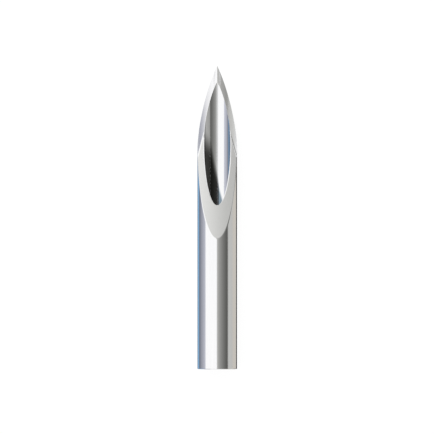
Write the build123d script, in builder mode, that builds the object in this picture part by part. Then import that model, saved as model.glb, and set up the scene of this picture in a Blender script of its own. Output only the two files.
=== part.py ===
"""A bare needle cannula: one length of drawn steel tube, ground to a three-facet lancet point.

The tube lies along +Y with its tip at the far end, and its open bevel faces up, +Z. The origin is on the tube's
axis, at the centre of the square-cut end. The point is made as on the grinding wheel: first one long main face,
then the tube is turned a little each way about its own axis and a steeper facet is ground on each side. The two
facets meet in a short ridge that runs down to the tip, on the underside of the tube.
"""

from build123d import *

import os
from math import atan2, cos, degrees, hypot, radians, sin, tan

# Driving sizes, in millimetres and degrees
outer_diameter = 0.33  # 29 gauge tube
wall = 0.057
shank_length = 1.086  # square-cut end to the heel of the bevel
bevel_length = 1.445  # heel of the bevel to the tip, along the axis
facet_angle = 18.2  # each side facet to the axis
facet_turn = 42.6  # how far the tube is turned each way for its side facets
apex_step = 0.0022  # main face above the floor of the bore, where the ridge between the facets meets it
lumen_break = 0.006  # edge break round the mouth of the lumen, in the main face
apex_break = 0.003  # edge break of the mouth beside the facets
bevel_break = 0.006  # edge break along the outside of the main face
end_break = 0.003  # edge break of the square-cut end, inside and out
roundoff = 1e-6  # closest that two places count as one

# Worked out from them
outer_radius = outer_diameter / 2
bore_radius = outer_radius - wall
length = shank_length + bevel_length
ridge_length = wall * cos(radians(facet_turn)) / tan(radians(facet_angle))
main_fall = outer_radius + bore_radius - apex_step
main_angle = degrees(atan2(main_fall, bevel_length - ridge_length))
heel = (0, shank_length, outer_radius)
tip = (0, length, -outer_radius)


def ground_face(through, angle, turn=0):
    """The plane of a ground face, leaning forward by angle, on a tube turned by turn. It faces away from the metal."""
    across = cos(radians(angle))
    normal = (across * sin(radians(turn)), sin(radians(angle)), across * cos(radians(turn)))
    return Plane(origin=through, z_dir=normal)


def slanting_edges(part, radius):
    """The edges that the ground faces leave on the part's wall of that radius, in order from the heel to the tip."""
    def on_wall(edge):
        places = [edge.position_at(share) for share in (0.25, 0.5, 0.75)]
        return all(abs(hypot(place.X, place.Z) - radius) < roundoff for place in places)

    return part.edges().filter_by(GeomType.ELLIPSE).filter_by(on_wall).sort_by(Axis.Y)


with BuildPart() as cannula:
    with BuildSketch(Plane.ZX):
        Circle(outer_radius)
        Circle(bore_radius, mode=Mode.SUBTRACT)
    extrude(amount=length)
    chamfer(cannula.faces().sort_by(Axis.Y).first.edges(), length=end_break)

    # The point
    split(bisect_by=ground_face(heel, main_angle), keep=Keep.BOTTOM)
    for side in (-1, 1):
        split(bisect_by=ground_face(tip, facet_angle, side * facet_turn), keep=Keep.BOTTOM)

    # The edges that are broken: the mouth's, so that it cuts no core, and the main face's. The facets stay sharp.
    chamfer(slanting_edges(cannula, bore_radius)[-2:], length=apex_break)
    chamfer(slanting_edges(cannula, bore_radius), length=lumen_break)
    chamfer(slanting_edges(cannula, outer_radius)[:2], length=bevel_break)

cannula.part.label = "cannula"

os.makedirs("parts", exist_ok=True)
export_step(cannula.part, "parts/cannula.step")
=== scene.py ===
"""The looks of a bare needle cannula: polished steel tube with a ground lancet point, on a white table."""

from math import asin, atan2, ceil, cos, hypot, inf, pi, radians, sin, sqrt, tan

import bmesh
import bpy
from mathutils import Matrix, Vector


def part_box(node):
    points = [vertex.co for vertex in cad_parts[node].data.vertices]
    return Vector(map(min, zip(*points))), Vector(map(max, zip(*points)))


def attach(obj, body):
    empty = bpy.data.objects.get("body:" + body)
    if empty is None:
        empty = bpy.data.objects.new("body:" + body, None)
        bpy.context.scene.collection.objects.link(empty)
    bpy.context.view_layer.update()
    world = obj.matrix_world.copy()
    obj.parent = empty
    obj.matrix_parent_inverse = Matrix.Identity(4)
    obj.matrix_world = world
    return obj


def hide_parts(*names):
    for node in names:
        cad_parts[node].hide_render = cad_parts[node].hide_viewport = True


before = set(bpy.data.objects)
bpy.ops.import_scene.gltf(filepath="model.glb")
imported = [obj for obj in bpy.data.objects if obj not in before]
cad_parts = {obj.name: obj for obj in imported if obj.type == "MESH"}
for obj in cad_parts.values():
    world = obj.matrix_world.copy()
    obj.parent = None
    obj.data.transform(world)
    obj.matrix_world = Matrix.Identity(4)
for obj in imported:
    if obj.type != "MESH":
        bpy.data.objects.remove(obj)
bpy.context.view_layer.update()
MM = 0.001

# The tube and its point, in millimetres and radians
lowest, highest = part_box("cannula")  # in metres
outer_radius = (highest.z - lowest.z) / 2 / MM
length = highest.y / MM
wall = 0.057
bore_radius = outer_radius - wall
bevel_length = 1.445
heel = length - bevel_length
facet_angle = radians(18.2)  # each side facet to the axis
facet_turn = radians(42.6)  # how far the tube is turned each way for its side facets
apex_step = 0.0022  # main face above the floor of the bore, where it meets the ridge
facet_slope = 1 / tan(facet_angle)
ridge_length = wall * cos(facet_turn) * facet_slope
main_slope = (bevel_length - ridge_length) / (outer_radius + bore_radius - apex_step)

# Broken edges, in millimetres: a break is measured on the ground face, and a rounding down the wall
lumen_break = 0.009  # of the mouth, in the main face
lumen_rounding = 0.0075
heel_share = 0.4  # how much of lumen_break is left at the mouth's heel
apex_break = 0.0015  # of the mouth, beside the facets
apex_rounding = 0.0006
mouth_roundness = 0.5
bevel_break = 0.003  # of the outside, beside the main face
bevel_rounding = 0.005
facet_break = 0.001  # of the outside, beside the facets, and its rounding too
rim_roundness = 0.6
end_break = 0.003  # of the square end, inside and out
keep_flat = 0.002  # a strip beside each broken edge, which keeps the shading flat up to it

# Rounded creases, in millimetres and radians
crease_height = 0.015  # how far the crease between two faces is rounded, along the tube
ridge_width = 0.006
ridge_at_tip = 0.08  # how much of ridge_width is left at the tip
sharp_turn = radians(16)  # an edge that turns more than this is shaded sharp

# Steps round half the tube: over the main face, across the crease beside it, and over a side facet
MAIN_STEPS = 72
CREASE_STEPS = 8
FACET_STEPS = 56
HALF_STEPS = MAIN_STEPS + CREASE_STEPS + FACET_STEPS
HEEL_STEPS = 4  # counted in before the heel, so that the mouth's edge is a little rounded there too
ROUND_STEPS = 5
NEAR = 1e-4  # how far to each side a slope is measured, in millimetres or radians

# The slots of the needle's materials
DRAWN, GROUND, BORE = range(3)


def part_way(first, last, share):
    """The value that lies that share of the way from the first to the last."""
    return first + (last - first) * share


def ground(x, z):
    """How far along the tube the ground faces cut it at x, z. The crease between two faces is rounded."""
    main = heel + (outer_radius - z) * main_slope
    aside = hypot(x, ridge_width * min(max((z + outer_radius) / wall, ridge_at_tip), 1))
    facet = length - (aside * sin(facet_turn) + (z + outer_radius) * cos(facet_turn)) * facet_slope
    nearness = max(crease_height - abs(main - facet), 0) / crease_height
    return min(main, facet) - nearness * nearness * crease_height / 4


def crease_angle(radius, past_facet):
    """The angle from the top at which a circle of that radius has the main face that far past the facet."""
    across = facet_slope * sin(facet_turn)
    up = main_slope - facet_slope * cos(facet_turn)
    reach = bevel_length - outer_radius * (main_slope + facet_slope * cos(facet_turn))
    return atan2(up, across) + asin((reach + past_facet) / (radius * hypot(up, across)))


def angle_at(step, radius):
    """The angle from the top of a step. The same steps cross the crease at every radius."""
    before = crease_angle(radius, -crease_height)
    after = crease_angle(radius, crease_height)
    if step <= MAIN_STEPS:
        return before * step / MAIN_STEPS
    if step <= MAIN_STEPS + CREASE_STEPS:
        return before + (after - before) * (step - MAIN_STEPS) / CREASE_STEPS
    return after + (pi - after) * (step - MAIN_STEPS - CREASE_STEPS) / FACET_STEPS


def on_ground(angle, radius):
    """The point of the ground faces at that angle and radius."""
    x, z = radius * sin(angle), radius * cos(angle)
    return Vector((x, ground(x, z), z))


def face_normal(angle, radius):
    """The way the ground face looks at that angle and radius."""
    x, z = radius * sin(angle), radius * cos(angle)
    slope_x = (ground(x + NEAR, z) - ground(x - NEAR, z)) / (2 * NEAR)
    slope_z = (ground(x, z + NEAR) - ground(x, z - NEAR)) / (2 * NEAR)
    return Vector((-slope_x, 1, -slope_z)).normalized()


def broken_edge(step, radius, inward, on_face, on_wall, roundness):
    """Points from a wall up over its broken edge onto the ground face. Inward is 1 at the bore, -1 outside.

    The first and the last lie on the wall and the face, and keep their shading flat up to the edge.
    Roundness runs from 0, where the edge is cut off flat, to 1, where it is pulled up to the sharp corner.
    """
    angle = angle_at(step, radius)
    corner = on_ground(angle, radius)
    towards_metal = Vector((sin(angle), 0, cos(angle))) * inward
    lean = face_normal(angle, radius).cross(towards_metal).length
    tops = []
    for reach in (on_face, on_face + keep_flat):
        face_radius = radius + inward * reach * lean
        tops.append(on_ground(angle_at(step, face_radius), face_radius))
    rise = (on_ground(angle + NEAR, radius).y - on_ground(angle - NEAR, radius).y) / (2 * NEAR * radius)
    steepness = sqrt(1 + rise * rise)
    down = corner - Vector((0, on_wall * steepness, 0))
    further_down = corner - Vector((0, (on_wall + keep_flat) * steepness, 0))
    pull = (tops[0] + down) / 2
    pull = pull + (corner - pull) * roundness
    points = [further_down]
    for part in range(ROUND_STEPS + 1):
        t = part / ROUND_STEPS
        points.append(down * (1 - t) ** 2 + pull * 2 * t * (1 - t) + tops[0] * t * t)
    return points + [tops[1]]


def square_end(outer_angle, bore_angle):
    """Points down the outside, round the square end and up into the bore."""
    points = []
    for angle, radius, along in (
        (outer_angle, outer_radius, end_break + keep_flat),
        (outer_angle, outer_radius, end_break),
        (outer_angle, outer_radius - end_break, 0),
        (outer_angle, outer_radius - end_break - keep_flat, 0),
        (bore_angle, bore_radius + end_break + keep_flat, 0),
        (bore_angle, bore_radius + end_break, 0),
        (bore_angle, bore_radius, end_break),
        (bore_angle, bore_radius, end_break + keep_flat),
    ):
        points.append(Vector((radius * sin(angle), along, radius * cos(angle))))
    return points


def section(step):
    """A slice through the wall: up the bore, over the ground face, down outside, round the square end."""
    beside = min(max((step - MAIN_STEPS) / CREASE_STEPS, 0), 1)
    from_heel = min((step + HEEL_STEPS) / MAIN_STEPS, 1)
    mouth_face = part_way(lumen_break, apex_break, beside) * part_way(heel_share, 1, from_heel)
    mouth_wall = part_way(lumen_rounding, apex_rounding, beside) * from_heel * from_heel
    rim_face = part_way(bevel_break, facet_break, beside)
    rim_wall = part_way(bevel_rounding, facet_break, beside)
    mouth = broken_edge(step, bore_radius, 1, mouth_face, mouth_wall, mouth_roundness)
    rim = broken_edge(step, outer_radius, -1, rim_face, rim_wall, rim_roundness)
    return mouth + rim[::-1] + square_end(angle_at(step, outer_radius), angle_at(step, bore_radius))


def make_needle():
    """The whole tube as one closed mesh, in metres: bore, mouth, ground faces, outside and square end."""
    half = [section(step) for step in range(HALF_STEPS + 1)]
    other = [[Vector((-p.x, p.y, p.z)) for p in points] for points in half[-2:0:-1]]
    bm = bmesh.new()
    rows = [[bm.verts.new(p * MM) for p in points] for points in half + other]
    count = len(rows[0])
    edge_points = ROUND_STEPS + 3
    ground_strips = range(1, 2 * edge_points - 2)  # from the mouth's broken edge to the outer one
    for i, row in enumerate(rows):
        beside = rows[(i + 1) % len(rows)]
        for j in range(count):
            k = (j + 1) % count
            face = bm.faces.new((row[j], beside[j], beside[k], row[k]))
            face.smooth = True
            if j in ground_strips:
                face.material_index = GROUND
            elif j in (0, count - 1):
                face.material_index = BORE
            else:
                face.material_index = DRAWN
    bmesh.ops.recalc_face_normals(bm, faces=bm.faces)
    for edge in bm.edges:
        edge.smooth = edge.calc_face_angle(0) < sharp_turn
    mesh = bpy.data.meshes.new("needle")
    bm.to_mesh(mesh)
    bm.free()
    needle = bpy.data.objects.new("needle", mesh)
    bpy.context.scene.collection.objects.link(needle)
    return needle


# Materials

STEEL = (0.66, 0.66, 0.67)
TINT_RANGE = 0.03
LINE_DEPTH = 0.0002 * MM


def steel(name, roughness, variation, lines_per_mm, bump):
    """Bare steel with faint lines, so many to a millimetre of each axis, and a roughness that varies."""
    material = bpy.data.materials.new(name)
    material.use_nodes = True
    nodes, links = material.node_tree.nodes, material.node_tree.links
    shader = nodes["Principled BSDF"]
    shader.inputs["Metallic"].default_value = 1
    place = nodes.new("ShaderNodeTexCoord")
    scale = nodes.new("ShaderNodeMapping")
    scale.inputs["Scale"].default_value = [value / MM for value in lines_per_mm]
    links.new(place.outputs["Object"], scale.inputs["Vector"])
    lines = nodes.new("ShaderNodeTexNoise")
    lines.inputs["Scale"].default_value = 1
    lines.inputs["Detail"].default_value = 3
    links.new(scale.outputs["Vector"], lines.inputs["Vector"])
    gloss = nodes.new("ShaderNodeMapRange")
    gloss.inputs["To Min"].default_value = roughness - variation
    gloss.inputs["To Max"].default_value = roughness + variation
    links.new(lines.outputs["Fac"], gloss.inputs["Value"])
    links.new(gloss.outputs["Result"], shader.inputs["Roughness"])
    tint = nodes.new("ShaderNodeMix")
    tint.data_type = "RGBA"
    tint.inputs["A"].default_value = [value * (1 - TINT_RANGE) for value in STEEL] + [1]
    tint.inputs["B"].default_value = [value * (1 + TINT_RANGE) for value in STEEL] + [1]
    links.new(lines.outputs["Fac"], tint.inputs["Factor"])
    links.new(tint.outputs["Result"], shader.inputs["Base Color"])
    relief = nodes.new("ShaderNodeBump")
    relief.inputs["Strength"].default_value = bump
    relief.inputs["Distance"].default_value = LINE_DEPTH
    links.new(lines.outputs["Fac"], relief.inputs["Height"])
    links.new(relief.outputs["Normal"], shader.inputs["Normal"])
    return material


# The studio: glowing cards that only the steel sees, painted with the reflections and shade that it shows.
# Their colours are as the steel shows them, from 0 to 255, and their distances in millimetres.

WHITE = (250, 250, 251)
# A blue that the steel shows as a painted reflection, from cards on the table and in the lumen
BLUE_REFLECTION = (128, 168, 204)
STORM = (101, 110, 125)
STEEL_BLUE = (132, 148, 160)
# Painted shade: the black that stands for the table's shadow beside the tube
PAINTED_SHADE_BLACK = (42, 42, 44)
WARM = (194, 190, 183)


def grey(level):
    """A grey that is a little warm, from 0 to 255."""
    return (level, level, level - 2)


def lilac(level):
    """A cool grey, from 0 to 255."""
    return (level, level + 2, level + 13)


# Painted reflection that the outer wall shows, at distances from the tube's middle: blue at the left, a
# white band, then greys, and at the right, next to the tube, black painted shade that stands for the
# table's shadow
WALL = [(-0.165, STORM), (-0.158, BLUE_REFLECTION), (-0.153, BLUE_REFLECTION), (-0.148, STORM), (-0.135, lilac(144)),
        (-0.099, lilac(189)), (-0.0955, WHITE), (-0.0045, WHITE), (0, grey(180)), (0.02, grey(149)),
        (0.0775, grey(91)), (0.0862, grey(91)), (0.09, grey(178)), (0.1, grey(190)), (0.12, grey(186)),
        (0.135, WARM), (0.1565, WARM), (0.1573, PAINTED_SHADE_BLACK), (0.165, PAINTED_SHADE_BLACK)]

# Painted reflection that the main face shows, at distances from its middle: lighter at the left, darker at
# the right
BEVEL = [(-0.35, grey(246)), (-0.08, grey(218)), (0.08, grey(188)), (0.35, grey(172))]

# Painted reflections that the two side facets show, at distances from the ridge
LEFT_FACET = [(0, WHITE), (0.03, WHITE), (0.05, (244, 244, 245)), (0.09, (229, 229, 232)),
              (0.15, lilac(156)), (0.165, lilac(172))]
RIGHT_FACET = [(0, grey(170)), (0.015, grey(164)), (0.055, grey(158)), (0.08, grey(138)),
               (0.0865, grey(138)), (0.0895, grey(190)), (0.12, grey(190)), (0.15, grey(206))]

# Painted reflection that the bore shows near the tip, where it is lit, and painted shade near the heel,
# standing for the tube's shadow there
BORE_PAINTED_LIGHT = [(-0.0945, grey(182)), (-0.0905, grey(168)), (-0.0602, grey(154)), (-0.0598, grey(103)),
            (-0.0475, grey(101)), (-0.0142, grey(148)), (0.0112, WHITE), (0.0562, WHITE),
            (0.0567, lilac(204)), (0.08, lilac(168)), (0.09, lilac(118)), (0.093, BLUE_REFLECTION), (0.0945, BLUE_REFLECTION)]
BORE_PAINTED_SHADE = [(-0.0945, grey(58)), (-0.0602, grey(46)), (-0.0598, grey(26)), (-0.045, grey(26)),
               (-0.008, grey(44)), (0.0085, grey(42)), (0.0155, STEEL_BLUE), (0.04, STEEL_BLUE)]

# How far along the tube that painted shade ends, at distances from the middle, and how wide its soft edge
# is
PAINTED_SHADE_END = [(-0.0945, (1.9, 0.24)), (-0.05, (1.83, 0.2)), (-0.0225, (1.686, 0.2)), (0.0025, (1.59, 0.14)),
             (0.0192, (1.485, 0.07)), (0.045, (1.395, 0.07)), (0.0567, (1.3, 0.07))]

# The tent of glowing cards ahead of the heel, a painted reflection, at degrees from the top: mostly white
# left of the split, then grey
TENT_SIDE = 92  # how far it reaches round each way
TENT_SPLIT = -4
EDGE_TENT = [(-TENT_SIDE, lilac(186)), (-75, lilac(186)), (-73, WHITE), (TENT_SPLIT, WHITE),
             (TENT_SPLIT + 0.1, grey(176)), (58, grey(92)), (61, grey(195)), (TENT_SIDE, grey(195))]
APEX_TENT = [(-TENT_SIDE, WHITE), (TENT_SPLIT, WHITE), (TENT_SPLIT + 0.1, grey(205)),
             (TENT_SIDE, grey(180))]

# Its middle part, a painted reflection that most broken edges mirror: left of the split, at places along
# the tube
RIM_LEFT = [(2.35, WHITE), (2.45, grey(206)), (2.65, grey(206)), (2.85, WHITE)]

# The same part right of the split, before its white band, at degrees from the top
RIM_RIGHT = [(TENT_SPLIT, grey(176)), (58, grey(92)), (TENT_SIDE, grey(92))]

# Where that white band starts along the tube, at degrees from the top, and how wide its soft edge is. The
# broken edges mirror it as painted highlights.
HIGHLIGHT_BAND_START = [(TENT_SPLIT, (2.88, 0.1)), (20, (2.88, 0.1)), (36, (2.96, 0.1)), (45, (2.88, 0.1)),
                (60, (2.74, 0.1)), (80, (2.52, 0.1)), (TENT_SIDE, (2.5, 0.1))]

# Where the parts of the tent start along the tube, each reaching up to the next
TENT_START = -2
EDGE_START = 1.45
RIM_START = 2.05
CREASE_START = 3.32
APEX_START = 3.64
TENT_END = 7

# Where the cards stand
TENT_RADIUS = 3.0
TENT_REACH = 0.121  # the outer wall mirrors the tent up to here, and the table past it
TABLE_CARD_END = 2.1
CARD_LIFT = 0.0005  # the cards on the table lie this far above it, and those at the tip twice as far
CARD_OVERLAP = 0.0005
# Past FLAG_START the right table card is all black painted shade, which the bevel's outer edge mirrors as a
# dark line
FLAG_START = 1.74  # past here the table card at the right is dark, for the bevel's outer edge
FLAG_SOFTNESS = 0.02
BEVEL_CARD_HEIGHT = 2.9
BEVEL_CARD_ENDS = [1.9, 3.8]
FACET_CARD_ASIDE = 0.9
FACET_SPOTS = [1.6, 2.6]  # along the tube, the places in a facet's plane that mirror its card's ends
TIP_CARD_ENDS = [0, 1.2]
ROOF_HEIGHT = -0.035
ROOF_REACH = 0.0567  # the bore mirrors the roof card up to here, and the upright ones past it
UPRIGHT_ASIDE = 0.0001  # from the middle of the lumen to the upright cards in it
BORE_SPOTS = (1.366, 2.37)  # along the tube, the places in the bore that mirror its cards' ends

# Steps between the corners of the cards, in millimetres, and in degrees round the tent
FINE_STEP = 0.002  # across the cards that a round wall mirrors
MEDIUM_STEP = 0.01  # along those in the lumen, and across those of the side facets
COARSE_STEP = 0.02
ANGLE_STEP = 1


def linear(colour):
    """A colour as it looks, 0 to 255, as an amount of light."""
    shares = [value / 255 for value in colour]
    return [s / 12.92 if s <= 0.04045 else ((s + 0.055) / 1.055) ** 2.4 for s in shares]


def blend(first, last, share):
    """Values that lie that share of the way from the first ones to the last ones."""
    return [part_way(a, b, share) for a, b in zip(first, last)]


def between(stops, at):
    """The values at a place along stops of (place, values), in order."""
    if at <= stops[0][0]:
        return stops[0][1]
    for (low, first), (high, last) in zip(stops, stops[1:]):
        if at <= high:
            return blend(first, last, (at - low) / (high - low))
    return stops[-1][1]


def past(border, softness, at):
    """How far a place is past a border with a soft edge that wide, from 0 before it to 1 after it."""
    return min(max((at - border) / softness + 0.5, 0), 1)


def spread(stops, step, low=-inf, high=inf):
    """The places of the stops from low to high, with more where two lie further apart than a step."""
    places = [place for place, values in stops if low < place < high]
    places = [max(low, stops[0][0])] + places + [min(high, stops[-1][0])]
    spaced = [places[0]]
    for start, end in zip(places, places[1:]):
        pieces = ceil((end - start) / step)
        spaced += [start + (end - start) * (i + 1) / pieces for i in range(pieces)]
    return spaced


def evenly(low, high, step):
    """Places from low to high, about a step apart."""
    return spread([(low, None), (high, None)], step)


def mirrored(normal):
    """The way that steel facing normal sends the look of a camera straight above it."""
    return normal * (2 * normal.z) - Vector((0, 0, 1))


def seen_in_wall(x, y):
    """A spot of the outer wall, and the way to what it shows."""
    normal = Vector((x, 0, sqrt(max(outer_radius ** 2 - x * x, 0)))) / outer_radius
    return Vector((x, y, normal.z * outer_radius)), mirrored(normal)


def seen_in_bore(x, y):
    """A spot of the bore, and the way to what it shows."""
    normal = Vector((-x, 0, sqrt(bore_radius ** 2 - x * x))) / bore_radius
    return Vector((x, y, -normal.z * bore_radius)), mirrored(normal)


def seen_in_facet(side, aside, y):
    """A spot of a side facet, that far aside from the ridge, and the way to what it shows."""
    normal = Vector((side * sin(facet_turn), 1 / facet_slope, cos(facet_turn))).normalized()
    rise = ((length - y) / facet_slope - aside * sin(facet_turn)) / cos(facet_turn)
    return Vector((side * aside, y, rise - outer_radius)), mirrored(normal)


def at_tent(start, way):
    """Where that way from a start meets the tent."""
    reach = hypot(way.x, way.z)
    along = (start.x * way.x + start.z * way.z) / reach
    outward = sqrt(TENT_RADIUS ** 2 - start.x ** 2 - start.z ** 2 + along ** 2) - along
    return start + way * (outward / reach)


def at_height(start, way, height):
    """Where that way from a start meets a height."""
    return start + way * ((height - start.z) / way.z)


def at_side(start, way, x):
    """Where that way from a start meets an upright plane at x."""
    return start + way * ((x - start.x) / way.x)


def make_painted_reflection_glow():
    """Cards glow in the colour that is written in their corners, which the steel shows as a painted
    reflection.
    """
    material = bpy.data.materials.new("painted_reflection_glow")
    material.use_nodes = True
    nodes, links = material.node_tree.nodes, material.node_tree.links
    nodes.clear()
    colour = nodes.new("ShaderNodeAttribute")
    colour.attribute_name = "glow"
    glow = nodes.new("ShaderNodeEmission")
    out = nodes.new("ShaderNodeOutputMaterial")
    links.new(colour.outputs["Color"], glow.inputs["Color"])
    links.new(glow.outputs["Emission"], out.inputs["Surface"])
    return material


def card(name, across, along, place, colour):
    """A glowing panel that only the steel sees, where it shows as a painted reflection.

    For a pair of values across and along, place gives its corner and colour what the steel shows of it.
    """
    vertices = [Vector(place(a, b)) * MM for a in across for b in along]
    colours = [colour(a, b) for a in across for b in along]
    row = len(along)
    corners = [i * row + j for i in range(len(across) - 1) for j in range(row - 1)]
    mesh = bpy.data.meshes.new(name)
    mesh.from_pydata(vertices, [], [(k, k + 1, k + row + 1, k + row) for k in corners])
    glow = mesh.attributes.new("glow", "FLOAT_COLOR", "POINT")
    for point, shown in zip(glow.data, colours):
        point.color = [light / shine for light, shine in zip(linear(shown), STEEL)] + [1]
    mesh.materials.append(painted_reflection_glow)
    panel = bpy.data.objects.new(name, mesh)
    bpy.context.scene.collection.objects.link(panel)
    panel.visible_camera = False
    panel.visible_diffuse = False
    panel.visible_shadow = False
    panel.visible_transmission = False


def tent(name, angles, along, colour):
    """A card bent round the tube, with its colours at degrees from the top and places along the tube."""
    card(name, angles, along,
         lambda angle, y: (TENT_RADIUS * sin(radians(angle)), y, TENT_RADIUS * cos(radians(angle))), colour)


def plain_tent(name, stops, start, end):
    """A part of the tent whose colours change with the angle alone."""
    tent(name, spread(stops, ANGLE_STEP), [start, end], lambda angle, y: between(stops, angle))


def make_wall_cards():
    """The tent and the two table cards that the outer wall mirrors, as a painted reflection with painted
    shade next to the tube at the right.
    """
    card("wall_tent", spread(WALL, FINE_STEP, -TENT_REACH, TENT_REACH), [TENT_START, EDGE_START],
         lambda x, y: at_tent(*seen_in_wall(x, y)), lambda x, y: between(WALL, x))

    # Painted shade on the right table card past FLAG_START, painted reflection elsewhere
    def table_colour(x, y):
        return PAINTED_SHADE_BLACK if x > 0 and y > FLAG_START else between(WALL, x)

    table = -outer_radius + CARD_LIFT
    along = [TENT_START, FLAG_START, FLAG_START + FLAG_SOFTNESS, TABLE_CARD_END]
    for name, low, high in (("left_table_card", -outer_radius, -TENT_REACH + CARD_OVERLAP),
                            ("right_table_card", TENT_REACH - CARD_OVERLAP, outer_radius)):
        card(name, spread(WALL, FINE_STEP, low, high), along,
             lambda x, y: at_height(*seen_in_wall(x, y), table), table_colour)


def make_edge_cards():
    """The tent ahead, which the broken edges of the bevel mirror, and the card over the main face: painted
    reflections, with a white band that gives the broken edges painted highlights.
    """
    def rim_colour(angle, y):
        if angle < TENT_SPLIT:
            return between(RIM_LEFT, y)
        return blend(between(RIM_RIGHT, angle), WHITE, past(*between(HIGHLIGHT_BAND_START, angle), y))

    plain_tent("edge_tent", EDGE_TENT, EDGE_START, RIM_START)
    tent("rim_tent", evenly(-TENT_SIDE, TENT_SIDE, 2 * ANGLE_STEP),
         evenly(RIM_START, CREASE_START, COARSE_STEP), rim_colour)
    plain_tent("crease_tent", EDGE_TENT, CREASE_START, APEX_START)
    plain_tent("apex_tent", APEX_TENT, APEX_START, TENT_END)
    card("bevel_card", spread(BEVEL, COARSE_STEP), BEVEL_CARD_ENDS,
         lambda x, y: (x, y, BEVEL_CARD_HEIGHT), lambda x, y: between(BEVEL, x))


def make_facet_cards(side, name, shown):
    """An upright card beside a side facet, and one on the table for the strip that looks further down, both
    painted with the facet's reflection.
    """
    def upright(aside, y):
        return at_side(*seen_in_facet(side, aside, y), side * FACET_CARD_ASIDE)

    def on_table(aside, reach):
        start, way = seen_in_facet(side, aside, length)
        rise = 2 * CARD_LIFT - way.z * reach
        y = length - (aside * sin(facet_turn) + rise * cos(facet_turn)) * facet_slope
        return Vector((start.x, y, rise - outer_radius)) + way * reach

    def colour(aside, further):
        return between(shown, aside)

    across = spread(shown, MEDIUM_STEP)
    card(name + "_facet_card", across, FACET_SPOTS, upright, colour)
    card(name + "_tip_card", across, TIP_CARD_ENDS, on_table, colour)


def make_bore_cards():
    """A roof and two upright glowing cards inside the lumen, which the bore mirrors: a painted reflection,
    with painted shade near the heel.
    """
    def shown(x, y):
        # Painted shade near the heel, blending into painted reflection towards the tip
        share = past(*between(PAINTED_SHADE_END, x), y)
        return blend(between(BORE_PAINTED_SHADE, x), between(BORE_PAINTED_LIGHT, x), share * share * (3 - 2 * share))

    along = evenly(*BORE_SPOTS, MEDIUM_STEP)
    card("bore_painted_shade_roof", spread(BORE_PAINTED_LIGHT, FINE_STEP, -ROOF_REACH, ROOF_REACH), along,
         lambda x, y: at_height(*seen_in_bore(x, y), ROOF_HEIGHT), shown)
    card("bore_painted_shade_left_card", spread(BORE_PAINTED_LIGHT, FINE_STEP, -inf, -ROOF_REACH), along,
         lambda x, y: at_side(*seen_in_bore(x, y), -UPRIGHT_ASIDE), shown)
    card("bore_right_card", spread(BORE_PAINTED_LIGHT, FINE_STEP, ROOF_REACH, inf), along,
         lambda x, y: at_side(*seen_in_bore(x, y), UPRIGHT_ASIDE), shown)


# The table, the world, the light and the camera

TABLE_HALF = 150 * MM
TABLE_COLOUR = (0.9, 0.9, 0.9, 1)
TABLE_GLOW = 1.05
TABLE_GLOW_SHARE = 0.87  # the rest is matt and takes the tube's faint shadow
ROOM_LIGHT = 0.55
PHOTO_WIDTH = 434  # pixels
PHOTO_SCALE = 120  # pixels to a millimetre
MIDDLE_X = -0.0017  # what lies in the photograph's middle, in millimetres
MIDDLE_Y = 1.2656


def camera_sees(nodes, links):
    """1 for what the camera sees, straight, mirrored or through glass, and 0 for light on the object."""
    path = nodes.new("ShaderNodeLightPath")
    either = nodes.new("ShaderNodeMath")
    either.operation = "MAXIMUM"
    links.new(path.outputs["Is Camera Ray"], either.inputs[0])
    links.new(path.outputs["Is Glossy Ray"], either.inputs[1])
    every = nodes.new("ShaderNodeMath")
    every.operation = "MAXIMUM"
    links.new(either.outputs["Value"], every.inputs[0])
    links.new(path.outputs["Is Transmission Ray"], every.inputs[1])
    return every.outputs["Value"]


def white_table():
    """Matt white that mostly glows where it is seen, and only takes light for the rest."""
    material = bpy.data.materials.new("white_table")
    material.use_nodes = True
    nodes, links = material.node_tree.nodes, material.node_tree.links
    nodes.clear()
    matt = nodes.new("ShaderNodeBsdfDiffuse")
    matt.inputs["Color"].default_value = TABLE_COLOUR
    glow = nodes.new("ShaderNodeEmission")
    glow.inputs["Strength"].default_value = TABLE_GLOW
    share = nodes.new("ShaderNodeMath")
    share.operation = "MULTIPLY"
    share.inputs[1].default_value = TABLE_GLOW_SHARE
    links.new(camera_sees(nodes, links), share.inputs[0])
    mix = nodes.new("ShaderNodeMixShader")
    links.new(share.outputs["Value"], mix.inputs["Fac"])
    links.new(matt.outputs["BSDF"], mix.inputs[1])
    links.new(glow.outputs["Emission"], mix.inputs[2])
    out = nodes.new("ShaderNodeOutputMaterial")
    links.new(mix.outputs["Shader"], out.inputs["Surface"])
    return material


def make_floor():
    """A plain white table that the tube lies on."""
    mesh = bpy.data.meshes.new("table")
    sides = ((-1, -1), (1, -1), (1, 1), (-1, 1))
    mesh.from_pydata([(x * TABLE_HALF, y * TABLE_HALF, lowest.z) for x, y in sides], [], [(0, 1, 2, 3)])
    mesh.materials.append(white_table())
    table = bpy.data.objects.new("table", mesh)
    bpy.context.scene.collection.objects.link(table)


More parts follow.
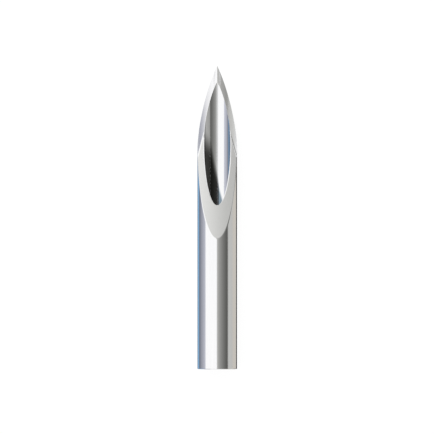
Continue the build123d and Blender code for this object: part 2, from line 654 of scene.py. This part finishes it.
def make_world():
    """White where it is seen, and plain soft light for the rest."""
    world = bpy.data.worlds.new("studio")
    bpy.context.scene.world = world
    world.use_nodes = True
    nodes, links = world.node_tree.nodes, world.node_tree.links
    back = nodes["Background"]
    back.inputs["Color"].default_value = (1, 1, 1, 1)
    strength = nodes.new("ShaderNodeMapRange")
    strength.inputs["To Min"].default_value = ROOM_LIGHT
    strength.inputs["To Max"].default_value = 1
    links.new(camera_sees(nodes, links), strength.inputs["Value"])
    links.new(strength.outputs["Result"], back.inputs["Strength"])


def make_lamp():
    """One broad soft lamp overhead."""
    lamp = bpy.data.lights.new("lamp", "SUN")
    lamp.energy = 1.5
    lamp.angle = radians(70)
    holder = bpy.data.objects.new("lamp", lamp)
    holder.rotation_euler = (radians(-10), radians(-15), 0)
    holder.visible_glossy = False
    bpy.context.scene.collection.objects.link(holder)


def make_camera():
    """Straight above the point, from far away: the photograph shows hardly any perspective."""
    lens, sensor = 500, 36
    height = PHOTO_WIDTH / PHOTO_SCALE * lens / sensor
    data = bpy.data.cameras.new("camera")
    data.lens = lens
    data.sensor_width = sensor
    data.clip_start = 1 * MM
    data.clip_end = 1
    camera = bpy.data.objects.new("camera", data)
    camera.location = (MIDDLE_X * MM, MIDDLE_Y * MM, height * MM)
    bpy.context.scene.collection.objects.link(camera)
    bpy.context.scene.camera = camera


make_camera()
bpy.context.scene.view_settings.view_transform = "Standard"
make_world()
make_floor()
make_lamp()
painted_reflection_glow = make_painted_reflection_glow()
make_wall_cards()
make_edge_cards()
make_facet_cards(-1, "left", LEFT_FACET)
make_facet_cards(1, "right", RIGHT_FACET)
make_bore_cards()

# Its materials come in the order of DRAWN, GROUND and BORE
needle = make_needle()
for material in (
    steel("drawn_steel", roughness=0.09, variation=0.01, lines_per_mm=(60, 1.5, 60), bump=0.05),
    steel("ground_steel", roughness=0.08, variation=0.01, lines_per_mm=(8, 300, 8), bump=0.02),
    steel("bore_steel", roughness=0.05, variation=0.01, lines_per_mm=(60, 1.5, 60), bump=0.02),
):
    needle.data.materials.append(material)
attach(needle, "root")
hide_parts("cannula")
